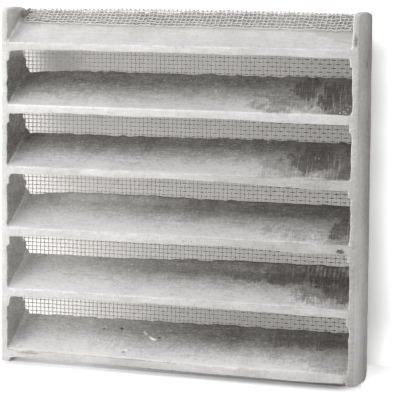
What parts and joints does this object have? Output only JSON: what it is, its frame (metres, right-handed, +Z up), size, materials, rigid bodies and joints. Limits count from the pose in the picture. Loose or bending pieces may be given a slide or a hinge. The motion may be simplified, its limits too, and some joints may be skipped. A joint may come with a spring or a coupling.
{
  "type": "louvred ventilation grille",
  "caption": "Cast aluminium wall ventilation grille with side walls, sloping louvre slats and a woven wire insect mesh bedded across its back.",
  "frame": {"origin": "under the middle of the grille, on the plane of its feet", "axes": "+X to the viewer's right, +Y from the front to the back, +Z up"},
  "size_m": [0.152, 0.0176, 0.1456],
  "materials": {
    "cast_aluminium": "dull as-cast metal with fine pits and a light grey oxide film",
    "mesh_wire": "dull galvanised wire, woven over and under"
  },
  "bodies": {
    "root": {"louvre_casting": "cast_aluminium", "insect_mesh": "mesh_wire"}
  },
  "joints": []
}
